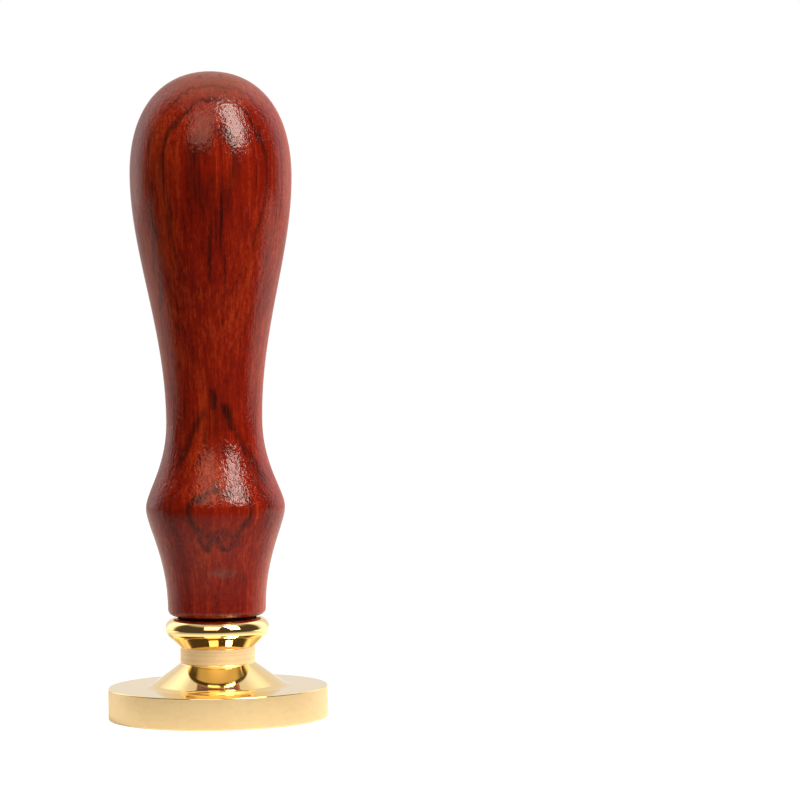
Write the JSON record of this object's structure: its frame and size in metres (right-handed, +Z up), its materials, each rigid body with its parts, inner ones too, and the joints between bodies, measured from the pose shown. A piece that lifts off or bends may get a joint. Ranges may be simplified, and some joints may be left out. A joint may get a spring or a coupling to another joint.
{
  "type": "wax seal stamp",
  "caption": "Hand stamp for sealing wax: turned wooden handle screwed onto a turned brass head whose flat round face is engraved with a fern frond.",
  "frame": {"origin": "centre of the engraved face, on the plane that the stamp stands on", "axes": "+Z up the handle along the turning axis; +Y towards the tip of the engraved frond"},
  "size_m": [0.03, 0.03, 0.0882],
  "materials": {
    "brass": "polished turning, satin neck and disc edge, brushed engraved face",
    "black_fibre": "matte black pressed fibre",
    "plated_steel": "bright zinc plating",
    "red_wood": "dyed red-brown hardwood under glossy lacquer"
  },
  "bodies": {
    "brass_head": {"seal_head": "brass"},
    "washer_ring": {"washer": "black_fibre"},
    "grip": {"handle": "red_wood", "hanger_bolt": "plated_steel"}
  },
  "joints": [
    {"name": "unscrew_lift", "type": "slide", "parent": "brass_head", "child": "washer_ring", "axis": [0, 0, 1], "range_m": [0, 0.008]},
    {"name": "unscrew_turn", "type": "hinge", "parent": "washer_ring", "child": "grip", "pos_m": [0, 0, 0.014], "axis": [0, 0, 1], "range_deg": [0, 2304]}
  ],
  "couplings": [
    {"joint": "unscrew_lift", "follows": "unscrew_turn", "m_per_rad": 0.00019894}
  ]
}
